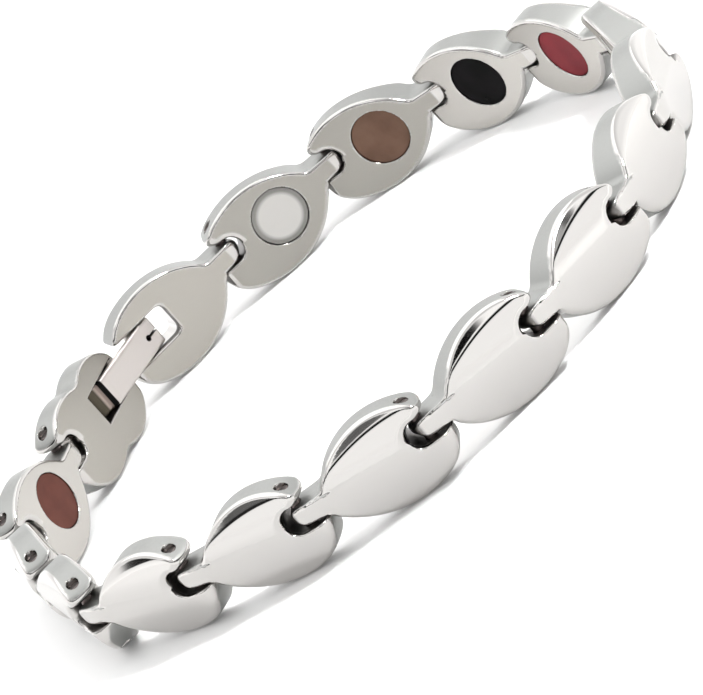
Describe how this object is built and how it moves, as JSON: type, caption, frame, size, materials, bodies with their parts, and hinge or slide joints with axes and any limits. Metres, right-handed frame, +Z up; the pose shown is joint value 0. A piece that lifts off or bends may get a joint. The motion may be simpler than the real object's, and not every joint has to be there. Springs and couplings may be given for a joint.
{
  "type": "magnetic bracelet",
  "caption": "Closed link bracelet of polished leaf-shaped metal links with flush coloured discs on their inner faces, joined by upright pins and a hinged lever clasp.",
  "frame": {"origin": "middle of the loop, on the surface that the lower edges of the links rest on", "axes": "+Z up along the pins; -Y toward the front links of the picture's view; +X to the right"},
  "size_m": [0.0691, 0.0694, 0.0086],
  "materials": {
    "link_steel": "polished outer faces and edges, satin side walls and inner faces",
    "lever_steel": "fine satin, softened edges",
    "pin_steel": "dull turned steel",
    "disc_red": "smooth gloss",
    "disc_black": "smooth gloss",
    "disc_brown": "smooth gloss",
    "disc_silver": "smooth satin with a dark ring at its rim"
  },
  "bodies": {
    "band": {"leaf_01": "link_steel", "leaf_02": "link_steel", "leaf_03": "link_steel", "leaf_04": "link_steel", "leaf_05": "link_steel", "leaf_06": "link_steel", "leaf_07": "link_steel", "leaf_08": "link_steel", "leaf_09": "link_steel", "leaf_10": "link_steel", "leaf_11": "link_steel", "leaf_12": "link_steel", "leaf_13": "link_steel", "leaf_14": "link_steel", "leaf_15": "link_steel", "catch_link": "link_steel", "lever_link": "link_steel", "pin_01": "pin_steel", "pin_02": "pin_steel", "pin_03": "pin_steel", "pin_04": "pin_steel", "pin_05": "pin_steel", "pin_06": "pin_steel", "pin_07": "pin_steel", "pin_08": "pin_steel", "pin_09": "pin_steel", "pin_10": "pin_steel", "pin_11": "pin_steel", "pin_12": "pin_steel", "pin_13": "pin_steel", "pin_14": "pin_steel", "pin_15": "pin_steel", "pin_16": "pin_steel", "catch_pin": "pin_steel", "lever_pin": "pin_steel", "disc_01": "disc_black", "disc_02": "disc_brown", "disc_03": "disc_silver", "disc_04": "disc_red", "disc_05": "disc_black", "disc_06": "disc_brown", "disc_07": "disc_silver", "disc_08": "disc_silver", "disc_09": "disc_red", "disc_10": "disc_black", "disc_11": "disc_brown", "disc_12": "disc_silver", "disc_13": "disc_brown", "disc_14": "disc_silver", "disc_15": "disc_red"},
    "lever": {"clasp_lever": "lever_steel"}
  },
  "joints": [
    {"name": "lever_hinge", "type": "hinge", "parent": "band", "child": "lever", "pos_m": [-0.02098, 0.0257, 0.0048], "axis": [0, 0, -1], "range_deg": [0, 80]}
  ]
}
